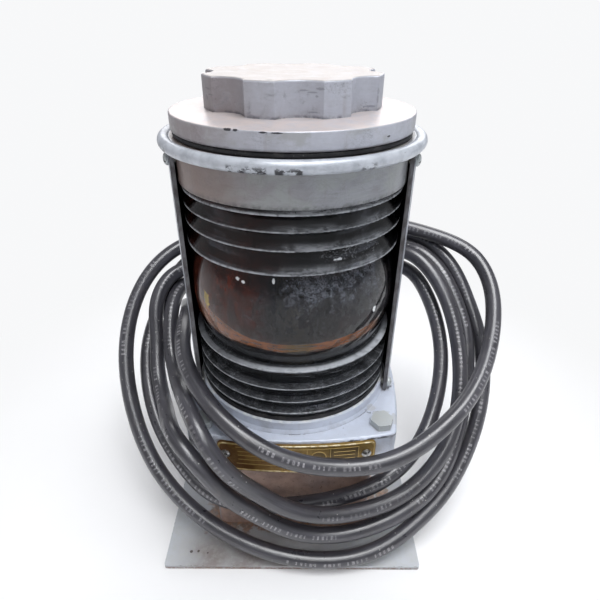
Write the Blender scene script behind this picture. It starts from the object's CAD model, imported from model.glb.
"""Looks of a marine lantern on a square base, coiled in its own supply cable.

The axis of the lantern is +Z, with the mounting plate at z = 0 and the cap near z = 260 mm.
The nameplate faces -Y, which is the front; +X is to its right. Blender works in metres, but
sizes here and inside the materials are millimetres unless a line says otherwise.
"""
import bpy
import bmesh
import math
import random
from functools import cached_property
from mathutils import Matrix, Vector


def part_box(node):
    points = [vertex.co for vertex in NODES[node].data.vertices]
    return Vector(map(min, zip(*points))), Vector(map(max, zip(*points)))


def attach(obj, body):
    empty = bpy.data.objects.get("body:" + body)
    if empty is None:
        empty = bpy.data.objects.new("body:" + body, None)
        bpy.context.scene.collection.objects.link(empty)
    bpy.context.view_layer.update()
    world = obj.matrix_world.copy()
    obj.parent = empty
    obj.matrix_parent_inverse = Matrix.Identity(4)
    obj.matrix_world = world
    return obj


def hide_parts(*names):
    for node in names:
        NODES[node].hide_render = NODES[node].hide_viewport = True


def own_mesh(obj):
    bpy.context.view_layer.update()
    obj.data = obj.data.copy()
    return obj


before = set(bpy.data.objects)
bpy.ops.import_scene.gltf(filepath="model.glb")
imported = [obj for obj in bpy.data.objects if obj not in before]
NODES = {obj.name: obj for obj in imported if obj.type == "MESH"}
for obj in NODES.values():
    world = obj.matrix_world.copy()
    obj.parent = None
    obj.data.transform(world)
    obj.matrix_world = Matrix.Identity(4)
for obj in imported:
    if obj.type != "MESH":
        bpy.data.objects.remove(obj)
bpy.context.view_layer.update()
from types import SimpleNamespace

import numpy as np
from mathutils import Matrix, Vector

MM = 0.001
random.seed(7)

# Sizes shared by a mesh and its material
JACKET_RADIUS = 4.75          # supply cable
SEAL_X, SEAL_Z = 14.4, 82.0   # round blank seal on the nameplate


# ------------------------------------------------------------------ colours
def srgb(red, green, blue):
    """Linear colour from 0..255 sRGB values."""
    def linear(c):
        c /= 255.0
        return c / 12.92 if c <= 0.04045 else ((c + 0.055) / 1.055) ** 2.4
    return (linear(red), linear(green), linear(blue))


def scaled(color, gain, lift=0.0):
    return tuple(c * gain + lift for c in color)


def lighter(color, gain, lift=0.0):
    return tuple(min(1, c) for c in scaled(color, gain, lift))


# ------------------------------------------------------------------ shader graph
class Num:
    """A scalar in a shader graph; arithmetic on it adds Math nodes."""

    def __init__(self, graph, socket):
        self.graph = graph
        self.socket = socket

    def __add__(self, other): return self.graph.math("ADD", self, other)
    def __radd__(self, other): return self.graph.math("ADD", other, self)
    def __sub__(self, other): return self.graph.math("SUBTRACT", self, other)
    def __rsub__(self, other): return self.graph.math("SUBTRACT", other, self)
    def __mul__(self, other): return self.graph.math("MULTIPLY", self, other)
    def __truediv__(self, other): return self.graph.math("DIVIDE", self, other)
    def __lt__(self, other): return self.graph.math("LESS_THAN", self, other)
    def __gt__(self, other): return self.graph.math("GREATER_THAN", self, other)
    def __abs__(self): return self.graph.math("ABSOLUTE", self)
    def max(self, other): return self.graph.math("MAXIMUM", self, other)

    def inverted(self):
        return self.graph.math("SUBTRACT", 1.0, self, clamp=True)

    def ramp(self, start, end, low=0.0, high=1.0):
        """Smooth step from low at start to high at end; start may be the larger."""
        node = self.graph.node("MapRange", (self, start, end, low, high),
                               interpolation_type="SMOOTHSTEP")
        return Num(self.graph, node.outputs[0])

    def near(self, centre, outer, inner, low=0.0, high=1.0):
        """High within inner of the centre, low beyond outer."""
        return abs(self - centre).ramp(outer, inner, low, high)


def union(*masks):
    result = masks[0]
    for mask in masks[1:]:
        result = result.max(mask)
    return result


class Graph:
    """Builder for a procedural material; lengths are millimetres in object space."""

    def __init__(self, name):
        self.material = bpy.data.materials.new(name)
        self.material.use_nodes = True
        self.tree = self.material.node_tree
        self.tree.nodes.clear()

    def put(self, socket, value):
        """Link or set an input; None leaves it alone and an RGB triple gets an alpha of 1."""
        if isinstance(value, Num):
            value = value.socket
        if isinstance(value, bpy.types.NodeSocket):
            self.tree.links.new(value, socket)
        elif value is not None:
            if isinstance(value, tuple) and len(value) == 3 and len(socket.default_value) == 4:
                value = (*value, 1.0)
            socket.default_value = value

    def node(self, kind, inputs=(), **settings):
        """New node; inputs are a sequence in socket order, or a dict by name or index."""
        node = self.tree.nodes.new("ShaderNode" + kind)
        for key, value in settings.items():
            setattr(node, key, value)
        pairs = inputs.items() if isinstance(inputs, dict) else enumerate(inputs)
        for key, value in pairs:
            self.put(node.inputs[key], value)
        return node

    # ---- where the shaded point is, and which way it faces
    @cached_property
    def position(self):
        return self.scale(self.node("TexCoord").outputs["Object"], (1000, 1000, 1000))

    @cached_property
    def normal(self):
        return self.node("NewGeometry").outputs["Normal"]

    def split(self, vector):
        return [Num(self, out) for out in self.node("SeparateXYZ", (vector,)).outputs]

    @cached_property
    def position_parts(self):
        return self.split(self.position)

    @cached_property
    def normal_parts(self):
        return self.split(self.normal)

    x = property(lambda self: self.position_parts[0])
    y = property(lambda self: self.position_parts[1])
    z = property(lambda self: self.position_parts[2])
    nx = property(lambda self: self.normal_parts[0])
    ny = property(lambda self: self.normal_parts[1])
    nz = property(lambda self: self.normal_parts[2])

    def radius(self):
        return self.math("SQRT", self.x * self.x + self.y * self.y)

    def bearing(self):
        """Angle round the axis in radians: 0 at the front, positive to the right."""
        return self.math("ARCTAN2", self.x, self.y * -1.0)

    def wall(self):
        """1 on upright faces, 0 on level ones."""
        return abs(self.nz).inverted()

    def camera_ray(self):
        return Num(self, self.node("LightPath").outputs["Is Camera Ray"])

    # ---- arithmetic
    def math(self, operation, *values, clamp=False):
        node = self.node("Math", values, operation=operation, use_clamp=clamp)
        return Num(self, node.outputs[0])

    def scale(self, vector, factors):
        return self.node("VectorMath", (vector, factors), operation="MULTIPLY").outputs[0]

    def shift(self, vector, offset):
        return self.node("VectorMath", (vector, offset), operation="ADD").outputs[0]

    def dot(self, a, b):
        node = self.node("VectorMath", (a, b), operation="DOT_PRODUCT")
        return Num(self, node.outputs["Value"])

    def mix(self, factor, a, b):
        """Scalar a where factor is 0, b where it is 1."""
        node = self.node("Mix", {0: factor, 2: a, 3: b}, data_type="FLOAT")
        return Num(self, node.outputs[0])

    def coat(self, below, above, mask):
        """Colour below, covered by colour above where the mask is 1."""
        node = self.node("Mix", {0: mask, 6: below, 7: above}, data_type="RGBA",
                         blend_type="MIX")
        return node.outputs[2]

    # ---- textures and masks
    def noise(self, size, vector=None, detail=4.0, rough=0.55, distort=0.0,
              stretch=(1, 1, 1), seed=0.0):
        """Noise with features about size mm wide, drawn out by stretch along each axis."""
        frequency = 1.0 / size
        vector = self.scale(self.position if vector is None else vector,
                            tuple(frequency / k for k in stretch))
        if seed:
            vector = self.shift(vector, (seed, seed * 1.7, seed * 0.6))
        node = self.node("TexNoise", {"Vector": vector, "Scale": 1.0, "Detail": detail,
                                      "Roughness": rough, "Distortion": distort})
        return Num(self, node.outputs[0])

    def specks(self, spacing):
        """Distance to the nearest of scattered points, in units of the spacing."""
        vector = self.scale(self.position, (1.0 / spacing,) * 3)
        node = self.node("TexVoronoi", {"Vector": vector, "Scale": 1.0}, feature="F1")
        return Num(self, node.outputs["Distance"])

    def spot(self, centre, size, ragged=0.7, grain=None, seed=0.0):
        """1 inside a ragged patch of the given half sizes about a point."""
        vector = self.shift(self.position, tuple(-c for c in centre))
        vector = self.scale(vector, tuple(1.0 / k for k in size))
        distance = self.math("SQRT", self.dot(vector, vector))
        noise = self.noise(grain or max(0.35, min(size) * 0.8), detail=4, rough=0.65,
                           seed=seed + 0.7 * centre[0])
        return (distance + (noise - 0.5) * (ragged * 2.0)).ramp(1.12, 0.9)

    def edges(self, size):
        """1 along edges and corners, 0 on flats."""
        bevel = self.node("Bevel", {"Radius": size * MM}, samples=6)
        return (1.0 - self.dot(bevel.outputs[0], self.normal)).ramp(0.02, 0.22)

    def crevice(self, distance):
        """1 in corners that little light reaches."""
        node = self.node("AmbientOcclusion", {"Distance": distance * MM}, samples=6)
        return Num(self, node.outputs["AO"]).inverted()

    # ---- surfaces
    def bump(self, height, depth):
        """Height 0..1 stands for depth mm."""
        return self.node("Bump", {"Strength": 1.0, "Distance": depth * MM,
                                  "Height": height}).outputs[0]

    def bsdf(self, color, rough, metal=0.0, normal=None, **inputs):
        values = {"Base Color": color, "Roughness": rough, "Metallic": metal, "Normal": normal}
        values.update({key.replace("_", " "): value for key, value in inputs.items()})
        return self.node("BsdfPrincipled", values).outputs[0]

    def mix_shaders(self, factor, a, b):
        return self.node("MixShader", (factor, a, b)).outputs[0]

    def finish(self, shader):
        self.node("OutputMaterial", {"Surface": shader})
        return self.material


# ------------------------------------------------------------------ material families
def painted(name, color, dark, warm, streak, chips, rough, metal, cast, dirt, edge_light,
            chip_color, mottle, chip_size=2.2, edge_size=0.8, crevice=7.0, dust=0.25,
            left_warm=0.0, grain=(9, 9, 1.5), marks=None):
    """Old brushed-on paint: streaks, stains, dirt in the corners, worn and chipped edges.

    dark, warm: colours of the shaded patches and of the stains
    streak, chips, dirt, dust, edge_light, left_warm: strengths of those effects
    cast, mottle: heights of the fine and the coarse relief
    crevice: reach of the corner dirt; grain: stretch of the brush marks
    marks: function (graph, color) -> color that adds the part's own marks
    """
    s = Graph(name)
    big = s.noise(42, detail=3, rough=0.5)
    mid = s.noise(9, detail=5, rough=0.62, seed=3.1)
    fine = s.noise(1.1, detail=4, rough=0.6, seed=7.7)
    brush = s.noise(1.0, detail=5, rough=0.72, stretch=grain, seed=1.3, distort=0.9)
    lump = s.noise(2.6, detail=4, rough=0.6, seed=41.0)
    runs = s.noise(1.0, detail=3, rough=0.6, stretch=(4.5, 4.5, 34), seed=5.9)
    # uneven tone, brush streaks and vertical runs
    tone = big.ramp(0.3, 0.7) * 0.35 + mid.ramp(0.3, 0.72) * 0.35
    col = s.coat(color, dark, tone * 0.75)
    col = s.coat(col, lighter(color, 1.22), brush.ramp(0.42, 0.75) * streak)
    col = s.coat(col, dark, brush.ramp(0.48, 0.25) * (streak * 0.8))
    run_color = tuple(0.5 * a + 0.5 * b * 0.9 for a, b in zip(dark, warm))
    col = s.coat(col, run_color, runs.ramp(0.55, 0.8) * s.wall() * 0.35)
    if left_warm:
        side = s.x.ramp(25, -60) * left_warm
        side_color = tuple(0.75 * b + 0.25 * a for a, b in zip(color, warm))
        col = s.coat(col, side_color, side * mid.ramp(0.2, 0.7, low=0.55))
    # dirt in corners, dust on top, light worn edges
    grime = (s.crevice(crevice) + (mid - 0.5) * 0.5).ramp(0.28, 0.85) * dirt
    col = s.coat(col, scaled(warm, 0.55), grime)
    col = s.coat(col, (0.62, 0.60, 0.56), s.nz.ramp(0.55, 0.95) * mid.ramp(0.35, 0.75) * dust)
    rim = s.edges(edge_size)
    col = s.coat(col, lighter(color, 1.35, lift=0.04), rim * edge_light)
    # chips along the edges and pits anywhere
    chip_noise = s.noise(chip_size, detail=6, rough=0.68, seed=11.3)
    clusters = s.noise(chip_size * 4.5, detail=2, rough=0.5, seed=21.7)
    pit_noise = s.noise(chip_size * 0.8, detail=3, rough=0.5, seed=31.0)
    chip_edge = (chip_noise + (clusters - 0.5) * 0.8).ramp(0.60, 0.63) * rim.ramp(0.10, 0.35)
    pits = (pit_noise + (clusters - 0.5) * 0.55).ramp(0.80, 0.815)
    chip = chip_edge.max(pits * 0.9) * chips
    col = s.coat(col, chip_color, chip)
    if marks:
        col = marks(s, col)
    height = fine * cast + (brush * 0.22 + mid * 0.4)
    height = height + lump * mottle - chip * 0.9
    roughness = rough + ((mid - 0.5) * 0.22 + grime * 0.25) + chip * 0.25
    return s.finish(s.bsdf(col, roughness.max(0.16), metal, s.bump(height, depth=0.16),
                           Specular_IOR_Level=0.5))


def bare_metal(name, color, rough, tint=None, grime=0.5, brush=(14, 14, 0.5)):
    """Unpainted metal; tint is its patchy second colour, brush stretches the scratches."""
    s = Graph(name)
    mid = s.noise(5, detail=5, rough=0.6)
    lines = s.noise(0.6, detail=4, rough=0.7, stretch=brush, seed=2.2)
    col = s.coat(color, tint or scaled(color, 0.7), mid.ramp(0.3, 0.75) * 0.6)
    col = s.coat(col, lighter(color, 1.15), lines.ramp(0.45, 0.7) * 0.25)
    dirt = (s.crevice(2.5) + (mid - 0.5) * 0.6).ramp(0.25, 0.8) * grime
    col = s.coat(col, (0.05, 0.04, 0.035), dirt)
    roughness = rough + dirt * 0.4 + (lines - 0.5) * 0.35
    normal = s.bump(lines * 0.5 + mid * 0.3, depth=0.05)
    return s.finish(s.bsdf(col, roughness.max(0.12), s.mix(dirt, 1.0, 0.2), normal))


def moulded(name, color, rough, dust, dust_color=(0.35, 0.33, 0.30), depth=0.06):
    """Rubber and plastic: fine grain, faint bloom and dust that settles on top."""
    s = Graph(name)
    mid = s.noise(7, detail=5, rough=0.6, seed=1.1)
    fine = s.noise(0.5, detail=3, rough=0.6)
    col = s.coat(color, scaled(color, 1.5, lift=0.006), mid.ramp(0.35, 0.7) * 0.5)
    settled = s.nz.ramp(0.0, 0.9) * 0.7 + 0.3
    powder = settled * (mid + (fine - 0.5) * 0.5).ramp(0.45, 0.8) * dust
    col = s.coat(col, dust_color, powder)
    col = s.coat(col, lighter(dust_color, 1.6), s.specks(3.1).ramp(0.085, 0.05) * (dust * 0.8))
    roughness = rough + ((mid - 0.5) * 0.2 + powder * 0.3)
    return s.finish(s.bsdf(col, roughness, 0.0, s.bump(fine * 0.6 + mid * 0.3, depth)))


def assign(material, *names):
    """Give whole CAD pieces one material."""
    for name in names:
        mesh = NODES[name].data
        mesh.materials.clear()
        mesh.materials.append(material)
        for polygon in mesh.polygons:
            polygon.material_index = 0


# ------------------------------------------------------------------ marks on painted parts
def ring_marks(s, col):
    """Top ring: a pale rolled bead above a stained skirt, paint lost under the bead."""
    radius = s.radius()
    bead = radius.ramp(57.4, 58.4) * s.z.ramp(232.6, 233.6)
    pale = s.coat(srgb(196, 201, 209), srgb(164, 169, 178),
                  s.noise(6, detail=4, seed=4.4).ramp(0.35, 0.75))
    rubbed = s.noise(2.0, detail=5, rough=0.7, stretch=(3, 3, 1), seed=8.1).ramp(0.60, 0.72)
    pale = s.coat(pale, srgb(150, 153, 160), rubbed)
    col = s.coat(col, pale, bead * 0.9)
    # skirt: greenish grey patches, brown left side, fine veins, dirty lower hem
    skirt = s.z.ramp(233.5, 232.5) * radius.ramp(54, 55.5)
    patch = s.noise(11, detail=5, rough=0.62, stretch=(1.5, 1.5, 1), seed=31.0, distort=0.8)
    col = s.coat(col, srgb(146, 150, 149), skirt * patch.ramp(0.42, 0.62, high=0.65))
    col = s.coat(col, srgb(112, 108, 110), skirt * patch.ramp(0.42, 0.28, high=0.5))
    brown = skirt * s.bearing().ramp(-0.15, -0.85)
    col = s.coat(col, srgb(124, 104, 97), brown * patch.ramp(0.3, 0.6, low=0.4, high=0.8))
    vein = s.noise(8, detail=6, rough=0.7, stretch=(1.6, 1.6, 1), seed=51.0, distort=1.3)
    col = s.coat(col, srgb(84, 82, 84), skirt * vein.near(0.5, outer=0.022, inner=0.008) * 0.14)
    hem = skirt * s.z.ramp(220.2, 217.8)
    hem_noise = s.noise(2.2, detail=5, seed=12.0)
    col = s.coat(col, srgb(70, 70, 72), hem * hem_noise.ramp(0.4, 0.65, low=0.2, high=0.7))
    # paint lost along the bead's lower edge, most of it front left
    ragged = s.noise(2.6, detail=6, rough=0.72, stretch=(1.5, 1.5, 0.8), seed=9.0)
    bearing = s.bearing()
    zone = union(bearing.near(-0.27, outer=0.17, inner=0.09),
                 bearing.near(-0.01, outer=0.12, inner=0.05),
                 bearing.near(-1.12, outer=0.16, inner=0.08),
                 bearing.near(0.50, outer=0.10, inner=0.04) * 0.6,
                 s.noise(15, detail=2, seed=2.0).ramp(0.56, 0.64) * 0.8)
    low = s.z.ramp(237.2, 235.2) * s.z.ramp(232.6, 233.4) * bead
    chip = (ragged + low * 0.06).ramp(0.535, 0.56) * low * zone.ramp(0.4, 0.7)
    speck = bead * s.noise(1.1, detail=3, rough=0.6, seed=77.0).ramp(0.745, 0.765)
    return s.coat(col, srgb(34, 33, 37), chip.max(speck) * 0.95)


# chips on the cap: centre, half sizes
CAP_CHIPS = [
    ((-8.6, -37.6, 263.0), (1.4, 1.1, 0.9)), ((20.4, -40.2, 262.9), (1.6, 1.0, 0.9)),
    ((-24.2, -52.2, 247.9), (1.9, 1.4, 0.55)), ((-20.9, -53.5, 247.9), (1.3, 1.2, 0.5)),
    ((-10.3, -56.4, 247.7), (1.7, 1.2, 0.35)), ((-5.0, -57.0, 247.6), (2.4, 1.2, 0.30)),
    ((38.9, -41.5, 243.6), (0.9, 1.4, 0.4)),
]
# casting creases on the cap's lobes: centre, half sizes
CAP_CREASES = [
    ((5.0, -36.4, 259.6), (2.0, 4.0, 0.34)), ((8.0, -37.2, 258.9), (1.9, 4.0, 0.32)),
    ((10.0, -37.8, 257.6), (0.9, 3.0, 0.55)), ((11.5, -38.6, 260.4), (1.7, 3.0, 0.5)),
    ((8.4, -38.0, 251.6), (2.6, 3.0, 0.4)), ((33.5, -20.5, 251.4), (3.2, 4.0, 0.5)),
    ((36.8, -18.6, 254.0), (0.5, 3.0, 1.7)), ((36.9, -18.6, 257.2), (0.45, 3.0, 1.2)),
    ((-36.0, -21.0, 258.4), (2.4, 3.0, 0.34)), ((-34.2, -22.8, 256.2), (1.5, 3.0, 0.3)),
    ((-36.4, -20.6, 254.6), (0.6, 3.0, 1.2)), ((22.0, -40.0, 255.6), (0.9, 3.0, 0.35)),
]


def cap_marks(s, col):
    """Cap: dirt round the boss's foot, creases on the lobes, chips on the disc's edge."""
    radius = s.radius()
    wall = s.wall()
    patch = s.noise(7, detail=6, rough=0.66, seed=61.0, distort=0.7)
    boss = s.z.ramp(249.2, 249.8)
    # light and dark patches on the boss, a brown left side, a dirty foot and lower rim
    col = s.coat(col, srgb(186, 190, 201), wall * boss * patch.ramp(0.44, 0.66, high=0.45))
    col = s.coat(col, srgb(122, 122, 130), wall * boss * patch.ramp(0.44, 0.30, high=0.55))
    brown = s.bearing().ramp(-0.30, -0.75) * wall * patch.ramp(0.25, 0.6, low=0.35, high=0.9)
    col = s.coat(col, srgb(118, 100, 94), brown * 0.60)
    foot = s.z.ramp(250.9, 249.6) * (wall * s.z.ramp(249.0, 249.3))
    foot_noise = s.noise(3.5, detail=5, rough=0.66, seed=5.5)
    foot = foot * foot_noise.ramp(0.42, 0.60, low=0.10, high=0.9)
    col = s.coat(col, srgb(72, 72, 82), foot * 0.75)
    rim_low = s.z.ramp(241.9, 240.9) * wall * radius.ramp(56.0, 56.8)
    col = s.coat(col, srgb(96, 92, 92), rim_low * patch.ramp(0.4, 0.6, low=0.15, high=0.55))
    # greenish disc edge and scattered scratches
    green_noise = s.noise(9, detail=5, rough=0.66, stretch=(1.4, 1.4, 1), seed=23.0)
    green = wall * boss.inverted() * green_noise.ramp(0.46, 0.64)
    col = s.coat(col, srgb(146, 144, 138), green * 0.45)
    scratch = s.noise(6, detail=5, rough=0.7, stretch=(1.2, 1.2, 1), seed=44.0, distort=2.0)
    scratch = scratch.near(0.5, outer=0.012, inner=0.004) * wall
    scratch = scratch * s.noise(13, detail=2, seed=3.0).ramp(0.5, 0.62)
    col = s.coat(col, srgb(84, 82, 90), scratch * 0.55)
    # level faces: pinkish on the disc, brownish on the boss
    top = s.nz.ramp(0.6, 0.95)
    col = s.coat(col, srgb(206, 192, 187),
                 top * boss.inverted() * patch.ramp(0.3, 0.65, low=0.35, high=0.85))
    col = s.coat(col, srgb(158, 147, 141), top * boss * patch.ramp(0.3, 0.65, low=0.55, high=0.95))
    creases = [s.spot(centre, size, ragged=1.1, grain=2.0, seed=2.0)
               for centre, size in CAP_CREASES]
    col = s.coat(col, srgb(84, 84, 94), union(*creases) * 0.38)
    chips = [s.spot(centre, size, ragged=0.8, grain=0.9) for centre, size in CAP_CHIPS]
    return s.coat(col, srgb(38, 36, 40), union(*chips) * 0.93)


def casting_marks(s, col):
    """Base casting: chips on the upper rim and by the lens seat, dirt above the nameplate."""
    chip_noise = s.noise(3.0, detail=6, rough=0.7, seed=17.0)
    chips = (chip_noise + (s.noise(24, detail=2, seed=5.0) - 0.5) * 0.8).ramp(0.715, 0.73)
    rim = s.z.ramp(90.4, 91.6) * s.z.ramp(93.4, 92.4)
    side = s.x.ramp(38, 46) * s.z.ramp(84, 90)
    col = s.coat(col, srgb(40, 38, 42), chips * rim.max(side) * 0.9)
    line = s.z.near(91.5, outer=0.75, inner=0.35) * (s.x.ramp(12, 22) * s.y.ramp(-50, -56))
    line_noise = s.noise(1.8, detail=5, rough=0.7, stretch=(3, 3, 0.8), seed=66.0)
    col = s.coat(col, srgb(34, 32, 34), line * line_noise.ramp(0.40, 0.54) * 0.9)
    stain = s.ny.ramp(-0.5, -0.85) * s.noise(10, detail=5, seed=71.0).ramp(0.45, 0.68)
    col = s.coat(col, srgb(118, 110, 108), stain * 0.35)
    worn = s.noise(4.2, detail=5, rough=0.65, seed=8.0).ramp(0.42, 0.66)
    col = s.coat(col, srgb(214, 216, 216), s.z.ramp(99.3, 100.2) * worn * 0.85)
    scrape = union(s.spot((44.0, -37.0, 93.0), (3.6, 2.2, 2), ragged=0.9, grain=2.0),
                   s.spot((50.5, -40.5, 93.0), (4.5, 1.6, 2), ragged=0.9, grain=1.8),
                   s.spot((57.0, -46.0, 92.8), (1.6, 5.0, 1.2), ragged=0.9, grain=1.6))
    return s.coat(col, srgb(160, 156, 146), scrape * 0.38)


def box_marks(s, col):
    """Base box: the front is stained a brownish red, the right side in patches."""
    stain = s.noise(30, detail=4, rough=0.6, seed=12.0).ramp(0.25, 0.6, low=0.72)
    patch = s.noise(8, detail=5, rough=0.65, seed=4.0)
    brown = s.coat(srgb(190, 158, 142), srgb(156, 128, 116), patch.ramp(0.3, 0.75))
    brown = s.coat(brown, srgb(116, 86, 72),
                   s.noise(2.4, detail=5, rough=0.7, seed=19.0).ramp(0.58, 0.68))
    col = s.coat(col, brown, s.ny.ramp(-0.35, -0.9) * (stain * 0.92))
    side = s.nx.ramp(0.4, 0.9) * patch.ramp(0.4, 0.65)
    return s.coat(col, srgb(150, 118, 92), side * 0.55)


def plate_marks(s, col):
    """Mounting plate: rust round the box, brown wash in front, pits, rusty lower edge."""
    reach = abs(s.x).max(abs(s.y))
    creep = s.noise(7, detail=6, rough=0.66, seed=3.0) + reach.ramp(62.0, 47.0) * 0.42
    rust = creep.ramp(0.66, 0.80) * reach.ramp(70, 50)
    rust = rust.max(s.spot((60.5, -24.0, 3.0), (4.5, 8.5, 6), ragged=0.8, grain=3.0))
    rust_color = s.coat(srgb(168, 112, 62), srgb(112, 76, 50),
                        s.noise(2.5, detail=4, seed=6.0).ramp(0.35, 0.65))
    col = s.coat(col, rust_color, rust * 0.75)
    wash = s.y.ramp(-46, -70) * s.x.ramp(74, -30)
    wash = wash * s.noise(22, detail=4, seed=15.0).ramp(0.3, 0.65, low=0.5)
    wash = wash * abs(s.x + 20).ramp(60, 30)
    col = s.coat(col, srgb(112, 95, 86), wash * 0.72)
    mottling = s.noise(3.0, detail=5, rough=0.68, seed=52.0).ramp(0.42, 0.66)
    col = s.coat(col, srgb(178, 182, 176), mottling * 0.30)
    pits = union(s.spot((-61.6, -67.5, 3.0), (0.9, 0.9, 2), ragged=0.5, grain=0.8),
                 s.spot((-57.3, -67.2, 3.0), (0.7, 0.8, 2), ragged=0.5, grain=0.8),
                 s.spot((-51.5, -68.3, 3.0), (0.5, 0.5, 2), ragged=0.5, grain=0.6),
                 s.spot((40.0, -70.0, 3.0), (0.6, 0.6, 2), ragged=0.5, grain=0.6))
    col = s.coat(col, srgb(60, 48, 42), pits * 0.85)
    line_noise = s.noise(1.8, detail=5, rough=0.7, seed=5.0)
    line = s.z.ramp(2.4, 0.8) * line_noise.ramp(0.36, 0.56)
    return s.coat(col, srgb(112, 78, 58), line * s.wall() * 0.8)


# ------------------------------------------------------------------ single materials
def screen_material():
    """Rear screen: grey paint outside, flat black inside, thin pale worn edges."""
    s = Graph("screen_paint")
    radius = s.radius().max(0.001)
    radial = (s.nx * s.x + s.ny * s.y) / radius
    outside = radial.ramp(0.55, 0.75)
    edge = abs(radial).ramp(0.6, 0.4)
    mid = s.noise(8, detail=5, rough=0.62)
    fine = s.noise(0.8, detail=4, rough=0.6, seed=4.0)
    brush = s.noise(1.0, detail=4, rough=0.7, stretch=(16, 16, 1.0), seed=2.0)
    runs = s.noise(1.0, detail=4, rough=0.6, stretch=(5, 5, 50), seed=9.0)
    # outside
    grey = s.coat(srgb(141, 147, 158), srgb(115, 119, 129), mid.ramp(0.3, 0.75))
    grey = s.coat(grey, srgb(198, 202, 210), brush.ramp(0.45, 0.75) * 0.30)
    grey = s.coat(grey, srgb(126, 112, 102), runs.ramp(0.56, 0.78) * 0.45)
    grey = s.coat(grey, srgb(120, 108, 98), s.z.ramp(112, 95) * mid.ramp(0.3, 0.65) * 0.5)
    chip_noise = s.noise(2.6, detail=6, rough=0.7, seed=8.0)
    chips = (chip_noise + (s.noise(20, detail=2, seed=1.0) - 0.5) * 0.8).ramp(0.76, 0.775)
    grey = s.coat(grey, srgb(60, 54, 52), chips * 0.85)
    # inside
    black = s.coat((0.006, 0.006, 0.007), (0.016, 0.015, 0.015), mid.ramp(0.35, 0.7))
    # edges, with bright patches: height of the patch, half height
    wear = s.noise(4.0, detail=5, rough=0.66, stretch=(1, 1, 2.4), seed=3.3)
    worn = s.coat(srgb(122, 122, 126), srgb(90, 87, 88), wear.ramp(0.40, 0.62))
    nick = s.noise(1.5, detail=5, rough=0.7, stretch=(1, 1, 1.6), seed=13.0).ramp(0.665, 0.69)
    worn = s.coat(worn, srgb(62, 58, 58), nick * 0.85)
    left = ((178, 6), (152, 3.0), (205, 2.5), (128, 5))
    right = ((186, 5), (160, 3), (212, 2.2), (139, 3.5))
    pale = [s.spot((x, -26.8, z), (2.2, 2.2, half), ragged=0.9, grain=1.6, seed=z)
            for x, patches in ((-51.0, left), (51.0, right)) for z, half in patches]
    worn = s.coat(worn, srgb(226, 227, 226), union(*pale))
    # a few flakes lost just inside the front edges, by the angle from the front in degrees
    angle = s.math("ARCTAN2", abs(s.x), s.y * -1.0) * 57.2958 + 0.0
    flakes = s.noise(3.2, detail=5, rough=0.72, seed=23.0).ramp(0.60, 0.63)
    inner = angle.ramp(68.4, 67.0) * outside.inverted() * flakes
    col = s.coat(black, grey, outside)
    col = s.coat(col, srgb(190, 190, 188), inner * 0.8)
    col = s.coat(col, worn, edge)
    rough = s.mix(outside, 0.86, 0.36 + (mid - 0.5) * 0.2)
    rough = s.mix(edge, rough, 0.5)
    normal = s.bump(fine * 0.2 + (brush * 0.25 + mid * 0.4), depth=0.15)
    return s.finish(s.bsdf(col, rough, 0.0, normal,
                           Specular_IOR_Level=s.mix(outside, 0.12, 0.5)))


def lens_fields(s):
    """Coordinates and noises that the layers on the lens share."""
    radius = s.radius()
    return SimpleNamespace(
        radius=radius,
        bearing=s.bearing(),
        outer=radius.ramp(47.5, 48.5),                             # outer surface
        belt=s.z.ramp(146, 156) * s.z.ramp(188.5, 182),            # smooth middle band
        fine=s.noise(1.2, detail=5, rough=0.68),
        mid=s.noise(5, detail=6, rough=0.68, seed=2.0, distort=0.6),
        blot=s.noise(9, detail=6, rough=0.70, seed=13.0, distort=1.4),
        big=s.noise(26, detail=3, rough=0.5, seed=7.0))


def lens_belt_salt(s, f):
    """Dried salt over the belt: dense high on the right, scattered low on the left."""
    rightish = f.bearing.ramp(-0.42, 0.12) * f.bearing.ramp(1.05, 0.85)
    high = (s.z + f.bearing * 6.0).ramp(158, 180)
    left = abs(f.bearing + 0.36).ramp(0.26, 0.10) * s.z.near(168, outer=13, inner=5)
    cover = (rightish * (0.25 + high * 0.75)).max(left * 0.55)
    level = (f.blot * 0.62 + f.mid * 0.38) + (cover - 0.5) * 0.16
    haze = f.belt * cover * level.ramp(0.50, 0.61, high=0.34)
    breakup = s.noise(1.7, detail=5, rough=0.74, seed=88.0, distort=1.2)
    haze = haze * breakup.ramp(0.39, 0.58, low=0.08)
    fleck_noise = s.noise(1.5, detail=4, rough=0.7, seed=91.0)
    flecks = f.belt * cover * fleck_noise.ramp(0.655, 0.69)
    return haze, flecks * 0.35


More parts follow.
